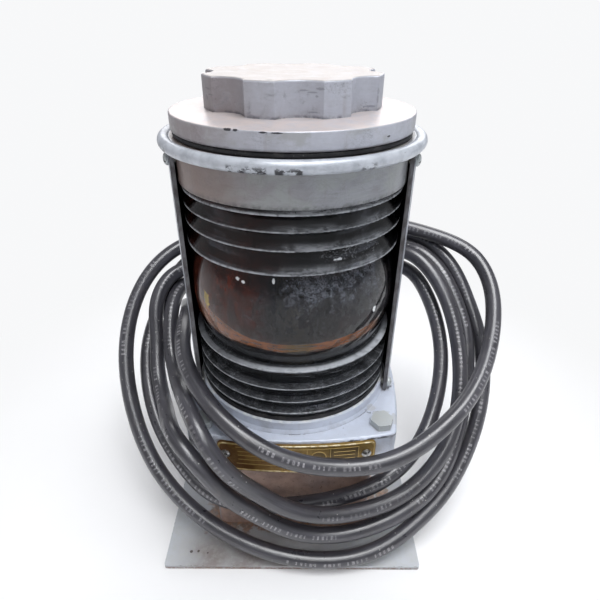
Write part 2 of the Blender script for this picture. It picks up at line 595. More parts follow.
def lens_ridge_dust(s, f):
    """Salt and dust on the ridges above and below the belt, one mask for each place."""
    wipe = s.noise(1.0, detail=5, rough=0.68, stretch=(13, 13, 1.6), seed=3.0, distort=0.8)
    # ridge crests
    crest = f.radius.ramp(54.75, 55.4)
    off_belt = (s.z.ramp(135, 138) * s.z.ramp(186, 183)).inverted()
    salt = crest * off_belt * (f.mid * 0.6 + f.fine * 0.4).ramp(0.38, 0.58, low=0.30, high=0.95)
    # upward faces, most of all the first shelf under the belt
    up = s.nz.ramp(0.5, 0.9) * f.outer
    shelf = up * (f.mid * 0.5 + f.fine * 0.5).ramp(0.40, 0.62, low=0.10, high=0.75)
    first = up * (s.z.ramp(133.0, 133.6) * s.z.ramp(135.4, 134.8))
    first = first * (f.radius.ramp(50.9, 53.3, low=0.10) * f.bearing.ramp(-0.75, -0.05, low=0.40))
    first = first * (f.mid * 0.6 + f.fine * 0.4).ramp(0.30, 0.56, low=0.45, high=0.98)
    shelf = (shelf * 0.30).max(first)
    # sloping faces above the belt carry wiped dust, strongest to the right
    slope = s.nz.ramp(0.12, 0.4) * s.z.ramp(187, 188.5) * f.outer
    sheen = f.bearing.near(0.16, outer=0.50, inner=0.0, high=0.52).max(
        f.bearing.near(0.72, outer=0.34, inner=0.05, high=0.42))
    sheen = sheen * f.radius.ramp(52.9, 55.3, low=0.04)
    slope = slope * (sheen * (wipe * 0.45 + f.blot * 0.55).ramp(0.40, 0.60, low=0.22))
    # a scrawl high on the right
    scrawl = s.z.near(196, outer=7, inner=3)
    scrawl = scrawl * (f.bearing.ramp(0.15, 0.35) * f.bearing.ramp(0.95, 0.8)) * f.outer
    scrawl_noise = s.noise(2.2, detail=6, rough=0.75, seed=33.0, distort=2.2)
    scrawl = scrawl * scrawl_noise.ramp(0.56, 0.62, high=0.55)
    # downward faces below the belt
    under = s.nz.ramp(-0.1, -0.4) * s.z.ramp(134.5, 133.0) * f.outer
    under = under * (wipe.ramp(0.48, 0.72) * f.bearing.ramp(-0.6, 0.6, low=0.04, high=0.24))
    return salt, shelf, slope, scrawl, under


def lens_glints(s):
    """Small bright spots on the glass."""
    return union(s.spot((-8.0, -51.1, 182.5), (0.65, 2.0, 1.25), ragged=0.4, grain=1.0),
                 s.spot((-24.8, -45.9, 181.1), (1.0, 2.0, 0.75), ragged=1.2, grain=0.9),
                 s.spot((-22.0, -47.5, 180.2), (0.9, 2.0, 0.7), ragged=0.8, grain=0.7),
                 s.spot((21.6, -49.8, 192.6), (2.6, 2.5, 0.5), ragged=1.2, grain=1.0),
                 s.spot((40.8, -37.2, 160.0), (0.9, 2.0, 1.6), ragged=0.9, grain=0.8))


def lens_residue(s, f):
    """Brown residue settled in a bow along the foot of the belt: mask and colour."""
    square = f.bearing * f.bearing
    bow = 147.3 + s.mix(f.bearing.ramp(-0.02, 0.02), square * 9.0, square * 2.7)
    half_width = 3.1 + f.bearing.ramp(-0.3, -0.95) * 1.0 * 4.0
    offset = abs(s.z - (bow + (f.blot - 0.5) * 1.8)) / half_width
    arc = offset.ramp(1.05, 0.72) * (f.bearing.ramp(-1.12, -0.92) * f.bearing.ramp(0.98, 0.84))
    streaks = s.noise(1.0, detail=4, rough=0.6, stretch=(10, 10, 1.4), seed=6.0)
    mask = arc * f.outer * streaks.ramp(0.22, 0.55, low=0.55, high=0.95)
    color = s.coat(srgb(132, 75, 32), srgb(90, 52, 25), f.mid.ramp(0.3, 0.7))
    color = s.coat(color, srgb(88, 66, 32), f.bearing.near(0.06, outer=0.22, inner=0.05))
    return mask, color


def lens_murk(s, f):
    """What shows through the glass: brown murk on the left, dark shapes, a yellow gleam."""
    columns = s.noise(1.0, detail=4, rough=0.6, stretch=(5, 5, 18), seed=29.0)
    murk = f.bearing.ramp(-0.12, -0.60) * f.belt * columns.ramp(0.34, 0.60, low=0.30, high=0.95)
    above = s.z.ramp(186, 190) * f.bearing.ramp(0.12, -0.30)
    murk = murk.max(above * (f.outer * f.big.ramp(0.3, 0.7, low=0.08, high=0.28)))
    ember_noise = s.noise(3.2, detail=5, rough=0.7, seed=47.0)
    ember = (f.belt * f.bearing.near(0.62, outer=0.34, inner=0.16)
             * (s.z.ramp(170, 160) * ember_noise.ramp(0.57, 0.63)))
    murk = murk.max(ember * 0.55)
    gleam = s.spot((-42.6, -35.6, 163.4), (1.9, 2.4, 5.0), ragged=1.3, grain=2.0)
    color = s.coat(srgb(84, 38, 27), srgb(44, 27, 24), f.mid.ramp(0.35, 0.65))
    # dark shapes over the middle and the right of the belt
    shape_noise = s.noise(1.0, detail=5, rough=0.66, stretch=(4.5, 4.5, 9), seed=71.0,
                          distort=1.0)
    shape = (shape_noise * 0.6 + f.blot * 0.4).ramp(0.47, 0.54, high=0.80)
    shape = shape * f.belt * f.bearing.ramp(-0.62, -0.30)
    shape_color = s.coat(srgb(30, 30, 36), srgb(44, 40, 40), f.mid.ramp(0.4, 0.6))
    color = s.coat(color, shape_color,
                   f.bearing.ramp(-0.40, -0.15) * (f.belt * ember.inverted()))
    color = s.coat(color, srgb(168, 146, 66), gleam)
    return murk.max(shape).max(gleam * 0.6), color


def lens_material():
    """Thick moulded glass: clear and dark within, salt and dust on the ridges and belt."""
    s = Graph("lens_glass")
    f = lens_fields(s)
    glint = lens_glints(s)
    dust = union(*lens_belt_salt(s, f), *lens_ridge_dust(s, f))
    dust = dust.max(glint * 0.85) * f.outer
    dust = dust.max(f.outer * (f.big.ramp(0.35, 0.7) * 0.010))
    dust_color = s.coat(srgb(150, 156, 168), srgb(98, 103, 115), f.fine.ramp(0.35, 0.7))
    dust_color = s.coat(dust_color, srgb(238, 240, 242), glint)
    dust_color = s.coat(dust_color, srgb(200, 203, 208), f.belt.inverted() * 0.7)
    residue, residue_color = lens_residue(s, f)
    murk, murk_color = lens_murk(s, f)
    wave = s.noise(15, detail=2, rough=0.5, seed=8.0)
    normal = s.bump(wave * 0.9 + dust * f.fine * 0.06, depth=0.45)
    glass = s.bsdf(srgb(92, 95, 103), s.mix(f.belt, 0.10, 0.03), 0.0, normal,
                   Transmission_Weight=1.0, IOR=1.5,
                   Specular_IOR_Level=s.mix(f.belt, 0.42, 0.26))
    powder = s.bsdf(dust_color, 0.60, 0.0, s.bump(f.fine, depth=0.12), Specular_IOR_Level=0.35)
    stain = s.bsdf(residue_color, 0.20, 0.0, normal, Specular_IOR_Level=0.5)
    mud = s.bsdf(murk_color, 0.10, 0.0, normal, Specular_IOR_Level=0.25)
    shader = s.mix_shaders(murk * 0.9, glass, mud)
    shader = s.mix_shaders(residue * 0.85, shader, stain)
    return s.finish(s.mix_shaders(dust, shader, powder))


def bulb_material():
    """Lamp glass with a thin film and a smoked crown."""
    s = Graph("bulb_glass")
    mid = s.noise(5, detail=4, rough=0.6)
    film = mid.ramp(0.45, 0.75) * 0.10
    crown = s.z.ramp(171, 179) * 0.18
    glass = s.bsdf((0.93, 0.96, 0.96), 0.02 + film * 0.6, 0.0, s.bump(mid, depth=0.05),
                   Transmission_Weight=1.0, IOR=1.47)
    smoke = s.bsdf((0.10, 0.09, 0.085), 0.5)
    return s.finish(s.mix_shaders(film.max(crown * mid.ramp(0.3, 0.7)), glass, smoke))


def label_material(relief):
    """Dull brass plate, olive gold on the right and brown on the left; or its relief."""
    s = Graph("label_relief" if relief else "label_brass")
    mid = s.noise(6, detail=5, rough=0.62)
    fine = s.noise(0.5, detail=4, rough=0.6, stretch=(16, 16, 0.5), seed=3.0)
    gold = s.coat(srgb(150, 122, 60), srgb(116, 92, 44), mid.ramp(0.3, 0.72))
    gold = s.coat(gold, srgb(104, 70, 34), s.x.ramp(14, -26) * mid.ramp(0.25, 0.6, low=0.6))
    gold = s.coat(gold, srgb(180, 152, 92), fine.ramp(0.5, 0.75) * 0.15)
    if relief:
        rim = s.z.ramp(89.6, 90.2).max(s.z.ramp(71.9, 71.3))
        plain = s.coat(gold, srgb(196, 168, 104), 0.75)
        cream = s.coat(srgb(226, 216, 184), srgb(170, 146, 96),
                       s.noise(3, detail=5, seed=9.0).ramp(0.40, 0.62))
        col = s.coat(plain, cream, rim * s.x.ramp(-30, 0, low=0.35, high=0.95))
        rough, metal = 0.48, 0.30
    else:
        pits = s.noise(1.8, detail=5, rough=0.7, seed=12.0).ramp(0.62, 0.68)
        # darkened ground of the right-hand field and of the seal
        field = (s.x.ramp(19.6, 20.6) * s.x.ramp(36.2, 35.4)
                 * (s.z.ramp(75.6, 76.2) * s.z.ramp(88.2, 87.8)))
        seal = s.math("SQRT", (s.x - SEAL_X) * (s.x - SEAL_X)
                      + (s.z - SEAL_Z) * (s.z - SEAL_Z)).ramp(3.9, 3.5)
        gold = s.coat(gold, srgb(58, 46, 28), field.max(seal) * 0.62)
        col = s.coat(gold, srgb(62, 44, 28), pits * 0.6)
        rough, metal = 0.50, 0.35
    col = s.coat(col, srgb(52, 38, 26), s.crevice(1.5).ramp(0.3, 0.8) * 0.6)
    normal = s.bump(fine * 0.4 + mid * 0.4, depth=0.06)
    return s.finish(s.bsdf(col, rough + (mid - 0.5) * 0.25, metal, normal))


# ------------------------------------------------------------------ CAD pieces
for node_object in NODES.values():
    node_object.data.shade_smooth()
    node_object.data.set_sharp_from_angle(angle=math.radians(28))

assign(painted("cap_paint", srgb(188, 191, 201), dark=srgb(148, 149, 158),
               warm=srgb(150, 128, 114), streak=0.28, chips=0.8, rough=0.36, metal=0.22,
               cast=0.45, dirt=0.60, edge_light=0.85, left_warm=0.35, marks=cap_marks,
               chip_color=srgb(62, 61, 65), chip_size=1.7, mottle=0.65, edge_size=0.55,
               grain=(5, 5, 1.6)), "cap")
assign(painted("ring_paint", srgb(147, 150, 156), dark=srgb(112, 112, 117),
               warm=srgb(126, 102, 92), streak=0.35, chips=0.85, rough=0.34, metal=0.20,
               cast=0.20, dirt=0.6, edge_light=0.4, left_warm=0.95, marks=ring_marks,
               chip_color=srgb(52, 51, 55), chip_size=2.0, crevice=5.0, mottle=0.4,
               grain=(12, 12, 1.1)), "top_ring")
assign(painted("casting_paint", srgb(196, 203, 217), dark=srgb(172, 178, 193),
               warm=srgb(150, 132, 116), streak=0.18, chips=0.75, rough=0.32, metal=0.04,
               cast=0.14, dirt=0.65, edge_light=0.5, marks=casting_marks,
               chip_color=srgb(46, 44, 48), chip_size=2.4, dust=0.1, mottle=0.2),
       "base_casting")
assign(painted("box_paint", srgb(164, 166, 174), dark=srgb(132, 131, 137),
               warm=srgb(134, 104, 88), streak=0.25, chips=0.6, rough=0.44, metal=0.05,
               cast=0.30, dirt=0.6, edge_light=0.3, marks=box_marks,
               chip_color=srgb(52, 44, 42), mottle=0.3), "base_box")
assign(painted("plate_paint", srgb(190, 194, 200), dark=srgb(166, 168, 172),
               warm=srgb(146, 124, 106), streak=0.12, chips=0.7, rough=0.42, metal=0.04,
               cast=0.16, dirt=0.4, edge_light=0.3, marks=plate_marks,
               chip_color=srgb(70, 58, 52), chip_size=2.8, dust=0.2, crevice=9.0, mottle=0.3),
       "mounting_plate")
assign(painted("bolt_paint", srgb(180, 185, 187), dark=srgb(146, 151, 150),
               warm=srgb(132, 120, 98), streak=0.12, chips=0.8, rough=0.34, metal=0.12,
               cast=0.2, dirt=0.9, edge_light=0.95, chip_color=srgb(66, 62, 60),
               chip_size=1.2, edge_size=0.5, crevice=2.5, mottle=0.3),
       "platform_bolts", "screen_screws")
assign(screen_material(), "rear_screen")
assign(lens_material(), "fresnel_lens")
assign(bulb_material(), "lamp_glass", "lamp_stem")
assign(bare_metal("pedestal_cast", srgb(186, 186, 188), rough=0.42, tint=srgb(150, 146, 140),
                  brush=(3, 3, 3)), "lamp_pedestal")
assign(bare_metal("holder_brass", srgb(196, 160, 92), rough=0.30, tint=srgb(140, 104, 52)),
       "lamp_socket", "lamp_base", "lamp_pins", "contact_plungers", "terminal_plates")
assign(bare_metal("steel_screws", srgb(190, 190, 190), rough=0.28, tint=srgb(140, 136, 130),
                  grime=0.8),
       "plate_screws", "nameplate_screws", "pedestal_screws", "tie_rods", "tie_rod_nuts",
       "terminal_screws", "block_screws", "ground_screw")
assign(bare_metal("spring_wire", srgb(196, 196, 198), rough=0.22, brush=(2, 2, 2)),
       "contact_springs", "lamp_supports")
assign(bare_metal("solder", srgb(170, 170, 172), rough=0.45, brush=(2, 2, 2)),
       "lamp_contacts")
assign(bare_metal("filament_wire", srgb(92, 92, 96), rough=0.35, brush=(1, 1, 1)),
       "lamp_filament")
assign(bare_metal("tinned_lugs", srgb(192, 184, 172), rough=0.36, brush=(3, 3, 3)),
       "wire_lugs")
assign(bare_metal("bare_copper", srgb(196, 118, 78), rough=0.32, tint=srgb(130, 72, 44),
                  brush=(0.6, 0.6, 6)), "tail_strands")
assign(moulded("phenolic", srgb(62, 42, 34), rough=0.38, dust=0.3),
       "socket_insulator", "terminal_block")
assign(moulded("nylon_black", srgb(34, 34, 37), rough=0.46, dust=0.35),
       "gland_body", "gland_locknut", "gland_nut")
assign(moulded("gasket_rubber", srgb(30, 30, 33), rough=0.62, dust=0.25),
       "lower_lens_gasket", "upper_lens_gasket", "cap_gasket", "base_gasket",
       "gland_grommet", "gland_washer")
assign(moulded("core_black", srgb(24, 24, 26), rough=0.34, dust=0.15, depth=0.03),
       "wire_black", "lamp_lead_live", "tail_black")
assign(moulded("core_white", srgb(214, 211, 202), rough=0.36, dust=0.15,
               dust_color=srgb(150, 140, 122), depth=0.03),
       "wire_white", "lamp_lead_neutral", "tail_white")
assign(moulded("core_green", srgb(34, 116, 62), rough=0.34, dust=0.12, depth=0.03),
       "wire_green", "tail_green")
assign(label_material(relief=False), "nameplate")


# ------------------------------------------------------------------ new pieces
def piece(name, verts, faces, material, body, uvs=None):
    """New mesh (metres) riding on a body; uvs holds one tuple of corners per face."""
    mesh = bpy.data.meshes.new(name)
    mesh.from_pydata(verts, [], faces)
    if uvs is None:
        bm = bmesh.new()
        bm.from_mesh(mesh)
        bmesh.ops.recalc_face_normals(bm, faces=bm.faces)
        bm.to_mesh(mesh)
        bm.free()
    else:
        layer = mesh.uv_layers.new(name="UVMap")
        for polygon in mesh.polygons:
            for loop in polygon.loop_indices:
                layer.data[loop].uv = uvs[polygon.index][loop - polygon.loop_start]
    mesh.materials.append(material)
    new_object = bpy.data.objects.new(name, mesh)
    bpy.context.scene.collection.objects.link(new_object)
    mesh.shade_smooth()
    mesh.set_sharp_from_angle(angle=math.radians(40))
    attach(new_object, body)
    return new_object


def waves(seed, amplitude, stop=9):
    """Uneven ripple round a circle: a sum of harmonics 2 .. stop - 1."""
    rnd = random.Random(seed)
    terms = [(k, rnd.uniform(0, 6.283), rnd.uniform(0.4, 1.0) / k ** 0.5)
             for k in range(2, stop)]
    return lambda a: amplitude * sum(w * math.sin(k * a + p) for k, p, w in terms) / 3.0


def rounded_rectangle(left, right, bottom, top, corner, arc_steps, spacing):
    """Outline with rounded corners; long sides get points about spacing apart."""
    points = []
    for cx, cy, start in ((right - corner, top - corner, 0), (left + corner, top - corner, 90),
                          (left + corner, bottom + corner, 180),
                          (right - corner, bottom + corner, 270)):
        for i in range(arc_steps + 1):
            a = math.radians(start + 90 * i / arc_steps)
            points.append((cx + corner * math.cos(a), cy + corner * math.sin(a)))
    outline = []
    for (x0, y0), (x1, y1) in zip(points, points[1:] + points[:1]):
        count = max(1, int(math.hypot(x1 - x0, y1 - y0) / spacing))
        outline += [(x0 + (x1 - x0) * t / count, y0 + (y1 - y0) * t / count)
                    for t in range(count)]
    return outline


# section of the squeezed cap gasket: radius, height
CAP_GASKET_SECTION = [
    (49.0, 237.86), (55.3, 237.86), (56.0, 238.15), (56.45, 238.75), (56.5, 239.3),
    (56.3, 239.9), (55.8, 240.3), (55.2, 240.46), (49.0, 240.46),
]


def cap_gasket(material, steps=220):
    """Squeezed rubber ring whose edge bulges a little, unevenly."""
    slow = waves(3, amplitude=0.16)
    quick = waves(8, amplitude=0.12, stop=14)
    count = len(CAP_GASKET_SECTION)
    verts, faces = [], []
    for i in range(steps):
        a = 2 * math.pi * i / steps
        for k, (radius, z) in enumerate(CAP_GASKET_SECTION):
            r = radius + (slow(a) + quick(a) if 1 < k < 7 else 0)
            verts.append((r * math.cos(a) * MM, r * math.sin(a) * MM, z * MM))
    for i in range(steps):
        j = (i + 1) % steps
        for k in range(count):
            m = (k + 1) % count
            faces.append((i * count + k, j * count + k, j * count + m, i * count + m))
    gasket = piece("cap_gasket_soft", verts, faces, material, "cap_seal")
    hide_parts("cap_gasket")


def contact_springs():
    """Copy of the springs; their free ends follow the plungers as the lamp is pressed."""
    source = NODES["contact_springs"].data
    low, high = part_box("contact_springs")
    length = high.z - low.z
    springs = piece("contact_springs_soft", [tuple(v.co) for v in source.vertices],
                    [tuple(p.vertices) for p in source.polygons], source.materials[0],
                    "housing")
    low.z
    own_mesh(springs)
    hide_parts("contact_springs")


def base_gasket(material):
    """Square sheet rubber with a round hole; its cut edge swells between the castings."""
    hole_radius = 43.0
    # share of the thickness, how far the edge stands out
    edge_layers = [(0.0, -0.55), (0.22, -0.12), (0.5, 0.02), (0.78, -0.12), (1.0, -0.55)]
    low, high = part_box("base_gasket")
    half = high.x * 1000
    z0, z1 = low.z * 1000, high.z * 1000
    outline = rounded_rectangle(-half, half, -half, half, corner=5.5, arc_steps=10, spacing=3.0)
    ripple = waves(5, amplitude=0.12, stop=12)
    verts, faces = [], []
    for share, out in edge_layers:
        for x, y in outline:
            d = out + (ripple(math.atan2(y, x)) if 0 < share < 1 else 0)
            reach = math.hypot(x, y)
            verts.append(((x + x / reach * d) * MM, (y + y / reach * d) * MM,
                          (z0 + (z1 - z0) * share) * MM))
    for share in (1.0, 0.0):
        for x, y in outline:
            a = math.atan2(y, x)
            verts.append((hole_radius * math.cos(a) * MM, hole_radius * math.sin(a) * MM,
                          (z0 + (z1 - z0) * share) * MM))
    count = len(outline)
    rings = len(edge_layers) + 2
    for k in range(rings):
        m = (k + 1) % rings
        for i in range(count):
            j = (i + 1) % count
            faces.append((k * count + i, k * count + j, m * count + j, m * count + i))
    gasket = piece("base_gasket_soft", verts, faces, material, "housing")
    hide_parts("base_gasket")


soft_rubber = moulded("gasket_rubber_soft", srgb(32, 32, 35), rough=0.55, dust=0.3)
cap_gasket(soft_rubber)
contact_springs()
base_gasket(soft_rubber)

# ------------------------------------------------------------------ nameplate relief
LABEL_AXIS_Y, LABEL_RADIUS = 187.65, 251.03   # the plate is bowed about an upright axis
LABEL_LEFT, LABEL_RIGHT, LABEL_BOTTOM, LABEL_TOP = -40.0, 45.0, 70.4, 91.2


class Relief:
    """Raised bands on the bowed face of the nameplate, outlined in (x, z)."""

    def __init__(self):
        self.verts, self.faces = [], []

    def point(self, x, z, lift):
        radius = LABEL_RADIUS + lift
        y = LABEL_AXIS_Y - math.sqrt(radius * radius - x * x)
        return (x * MM, y * MM, z * MM)

    def strip(self, inner, outer, high, closed=True):
        """Band between two outlines that match point for point, with sloping sides."""
        low, slope = -0.02, 0.22
        count = len(inner)
        start = len(self.verts)
        for (ix, iz), (ox, oz) in zip(inner, outer):
            self.verts += [
                self.point(ix, iz, low),
                self.point(ix + (ox - ix) * slope, iz + (oz - iz) * slope, high),
                self.point(ox + (ix - ox) * slope, oz + (iz - oz) * slope, high),
                self.point(ox, oz, low)]
        for i in range(count if closed else count - 1):
            a = start + 4 * i
            b = start + 4 * ((i + 1) % count)
            for k in range(4):
                m = (k + 1) % 4
                self.faces.append((a + k, a + m, b + m, b + k))
        if not closed:
            end = start + 4 * (count - 1)
            self.faces.append(tuple(start + k for k in (3, 2, 1, 0)))
            self.faces.append(tuple(end + k for k in (0, 1, 2, 3)))

    def bar(self, x0, x1, z0, z1, high):
        count = max(2, int(abs(x1 - x0) / 2.0))
        xs = [x0 + (x1 - x0) * i / count for i in range(count + 1)]
        self.strip([(x, z0) for x in xs], [(x, z1) for x in xs], high, closed=False)


def stretched_to(outline, left, right, bottom, top):
    """The outline scaled to fill a box, point for point."""
    xs, zs = zip(*outline)
    x0, x1, z0, z1 = min(xs), max(xs), min(zs), max(zs)
    return [(left + (x - x0) / (x1 - x0) * (right - left),
             bottom + (z - z0) / (z1 - z0) * (top - bottom)) for x, z in outline]


def label_box(inset):
    return (LABEL_LEFT + inset, LABEL_RIGHT - inset, LABEL_BOTTOM + inset, LABEL_TOP - inset)


def seal_circle(radius, steps=40):
    return [(SEAL_X + radius * math.cos(i * math.pi / (steps / 2)),
             SEAL_Z + radius * math.sin(i * math.pi / (steps / 2))) for i in range(steps)]


def nameplate_relief():
    """Raised border, ruled fields and a round blank seal, all without lettering."""
    margin, border = 0.35, 1.0
    relief = Relief()
    outer = rounded_rectangle(*label_box(margin), corner=2.7, arc_steps=8, spacing=2.5)
    relief.strip(stretched_to(outer, *label_box(margin + border)), outer, high=0.35)
    for z in (88.0, 75.6):                # rules above and below the fields
        relief.bar(-30.0, 36.0, z, z + 0.35, high=0.22)
    for z in (84.9, 81.9, 78.9):          # left field
        relief.bar(-29.0, 3.0, z, z + 0.3, high=0.18)
    for x in (8.0, 20.5, 35.6):           # upright dividers
        relief.bar(x, x + 0.4, 76.0, 88.0, high=0.2)
    for z in (85.2, 82.6, 80.0, 77.6):    # right field
        relief.bar(22.5, 34.0, z, z + 0.3, high=0.18)
    relief.strip(seal_circle(3.7), seal_circle(4.3), high=0.2)
    piece("nameplate_relief", relief.verts, relief.faces, label_material(relief=True),
          "housing")


nameplate_relief()

# ------------------------------------------------------------------ supply cable
# points on the centre line: x, y, z
CABLE_PATH = [
    (0, 36, 34), (0, 48, 34), (0, 60, 34), (0, 72, 34), (0.1, 84, 34), (-4.8, 105.1, 36.7),
    (-20.4, 118.1, 44.7), (-40.2, 119.9, 54.3), (-58.6, 112.8, 64.1), (-72.6, 99.6, 75),
    (-80, 82.8, 87.3), (-79.9, 64.5, 99.7), (-74.6, 45.5, 109.7), (-70, 24.9, 116.6),
    (-67.4, 3, 118.7), (-63, -18.5, 116.3), (-53.5, -38.1, 112.1), (-39.8, -54.5, 106.2),
    (-22.6, -66.1, 98.5), (-2.8, -71.4, 90.3), (18.5, -71.3, 84.4), (40.5, -69, 82.9),
    (61.6, -63.1, 85.8), (80.2, -52.6, 91.8), (96.5, -39.4, 98.9), (109.4, -23.3, 107.1),
    (118.8, -5.4, 116.1), (125.1, 13.4, 126), (126.6, 32.5, 137.2), (119.3, 50, 148.2),
    (102.1, 62.3, 154.6), (82.1, 71.1, 158), (61.6, 79.5, 159.5), (40.5, 86, 157.8),
    (18.7, 89.2, 155.1), (-3.4, 88.9, 153.8), (-25.4, 86, 153.4), (-46.9, 80.5, 152.3),
    (-67.3, 72.4, 149.4), (-85.6, 61.4, 143.4), (-99.1, 47.7, 132.6), (-106.8, 32.6, 118.4),
    (-109.4, 17.1, 102.7), (-107.8, 1.9, 86.7), (-102.4, -12.9, 71.1), (-94, -27.2, 56.4),
    (-82.3, -40.5, 43), (-67.2, -51.9, 31.5), (-49.4, -61.2, 22.1), (-29.6, -68.3, 15),
    (-8.5, -73.2, 10.3), (13.4, -75.5, 8.4), (35.5, -74.6, 9.6), (56.5, -69.4, 14.5),
    (74.9, -60, 22.4), (91.4, -48.7, 32.2), (104.5, -35.6, 44.2), (114.2, -22.1, 58.8),
    (120.7, -7.9, 74.7), (123.7, 7.6, 90.2), (122.6, 24, 105.1), (117.7, 39.8, 119.9),
    (110.1, 54.2, 134.9), (97.5, 68.6, 145.9), (78.9, 79.5, 150.5), (57.3, 83.8, 149.2),
    (35.3, 84.6, 146.6), (13.2, 84.3, 144.8), (-9, 83, 143.9), (-31, 80.5, 143.1),
    (-52.8, 76.6, 141.2), (-72.8, 69.1, 135.7), (-85.4, 55, 124.6), (-92.5, 38.8, 111.2),
    (-97.1, 22.5, 96.8), (-96, 6, 82.1), (-89.8, -11, 69.4), (-79.5, -27, 57.9),
    (-65.8, -41.1, 47.7), (-49, -52.3, 38.8), (-28, -56.2, 33.1), (-5.9, -56, 31.8),
    (16, -55.6, 35.3), (37.1, -54.7, 42.2), (57.2, -48.3, 48.6), (74, -35.2, 54.6),
    (86.1, -19.4, 64.2), (93.8, -3.3, 77.3), (97.4, 12.7, 92.2), (96.4, 28.9, 107.3),
    (91, 45.3, 121.1), (80.1, 61.7, 131), (60.8, 71.9, 130.2), (39.7, 74.4, 124.2),
    (18, 74.7, 119.4), (-4, 75.6, 116.7), (-26.2, 76.4, 116), (-48, 73.4, 118.2),
    (-66.8, 62.9, 122.6), (-78.3, 44.3, 123.6), (-80.7, 24.7, 114.2), (-78.7, 8.4, 99.3),
    (-71.8, -10.8, 91.7), (-63.8, -30.4, 97.8), (-55.2, -50, 103.4), (-44.1, -66.5, 95.2),
    (-31.7, -71.5, 77.7), (-17.3, -70.4, 60.9), (0.5, -70.4, 47.7), (21.5, -68.7, 41),
    (42.9, -63.6, 39), (63.6, -56.1, 41.2), (81.2, -46.5, 50.5), (94.4, -34.3, 63.4),
    (102.3, -18.9, 77.2), (105.7, -2.8, 92), (105.2, 12.9, 107.7), (101, 28, 123.4),
    (92.5, 43.1, 137.1), (78.4, 57.5, 145.7), (59.3, 68, 142.6), (39.6, 74.9, 135),
    (18.5, 78.8, 129.7), (-3.6, 79.5, 128.1), (-25.7, 77.8, 129.1), (-46.8, 71.8, 131.9),
    (-65.9, 60.9, 134.9), (-83, 47.2, 132.9), (-91, 31.6, 120), (-89.8, 17.7, 102.8),
    (-87.4, 2.1, 87.3), (-80.2, -16.8, 79.1), (-72.2, -36.9, 83.2), (-62.3, -56.1, 87.1),
    (-47.3, -68.1, 77.1), (-34, -71.4, 59.7), (-19, -70.7, 43.4), (-1.1, -70.8, 30.4),
    (20, -69.8, 23.8), (41.8, -66.2, 24.1), (62.5, -60.2, 29.2), (80.9, -51.2, 37.7),
    (94.6, -38, 48.9), (103.8, -22.5, 61.8), (110.2, -6.8, 76.2), (113.3, 8.3, 92),
    (112.5, 22.9, 108.7), (107.1, 37.8, 124.2), (98, 53, 137.5), (82.9, 67.2, 144.6),
    (63.7, 77.5, 141.1), (43.3, 84.6, 135.9), (21.8, 89.1, 133), (0, 92.9, 131.3),
]
JACKET_SKIN = JACKET_RADIUS - 0.05   # mean radius of the uneven surface
JACKET_SEGMENTS = 32
JACKET_ROW_PITCH = 1.25
UV_LENGTH = 100.0                    # mm of cable per unit of U


def natural_spline(points, samples):
    """Samples along a natural cubic spline with a chord-length parameter."""
    P = np.array(points, float)
    chord = np.linalg.norm(np.diff(P, axis=0), axis=1)
    knots = np.concatenate([[0], np.cumsum(chord)])
    count = len(P)
    matrix = np.zeros((count, count))
    rhs = np.zeros((count, 3))
    matrix[0, 0] = matrix[-1, -1] = 1.0
    for i in range(1, count - 1):
        matrix[i, i - 1] = chord[i - 1]
        matrix[i, i] = 2 * (chord[i - 1] + chord[i])
        matrix[i, i + 1] = chord[i]
        rhs[i] = 6 * ((P[i + 1] - P[i]) / chord[i] - (P[i] - P[i - 1]) / chord[i - 1])
    M = np.linalg.solve(matrix, rhs)   # second derivatives at the knots

    def at(s):
        i = min(max(int(np.searchsorted(knots, s) - 1), 0), count - 2)
        h = chord[i]
        a, b = (knots[i + 1] - s) / h, (s - knots[i]) / h
        return (a * P[i] + b * P[i + 1]
                + ((a ** 3 - a) * M[i] + (b ** 3 - b) * M[i + 1]) * h * h / 6)
    return np.array([at(s) for s in np.linspace(0, knots[-1], samples)])


def cable_centre_line():
    """Evenly spaced stations: distance along, centre, tangent and two cross directions."""
    dense = natural_spline(CABLE_PATH, samples=9000)
    arc = np.concatenate([[0], np.cumsum(np.linalg.norm(np.diff(dense, axis=0), axis=1))])
    along = np.linspace(0, arc[-1], int(arc[-1] / JACKET_ROW_PITCH))
    centres = np.stack([np.interp(along, arc, dense[:, k]) for k in range(3)], 1)
    tangents = np.gradient(centres, axis=0)
    tangents /= np.linalg.norm(tangents, axis=1)[:, None]
    # carry one cross direction along the cable without twist
    side = np.cross(tangents[0], np.array([0, 0, 1.0]))
    side /= np.linalg.norm(side)
    frames = []
    for tangent in tangents:
        side = side - tangent * (side @ tangent)
        side /= np.linalg.norm(side)
        frames.append((side.copy(), np.cross(tangent, side)))
    return along, centres, tangents, frames


def jacket_radii(along, angles):
    """Radius at every station and angle: slow twist of the three cores, soft lumps."""
    rnd = random.Random(11)
    length = along[-1]
    # place along, width, height, angle
    lumps = [(rnd.uniform(0, length), rnd.uniform(5, 16), rnd.uniform(-0.06, 0.035),
              rnd.uniform(0, 6.28)) for _ in range(170)]
    s = along[:, None]
    a = angles[None, :]
    radii = np.full((len(along), len(angles)), JACKET_SKIN)
    radii += 0.035 * np.cos(3 * a + s * 0.075)
    for place, width, height, angle in lumps:
        radii += height * np.exp(-((s - place) / width) ** 2) * (0.5 + 0.5 * np.cos(a - angle))
    return radii


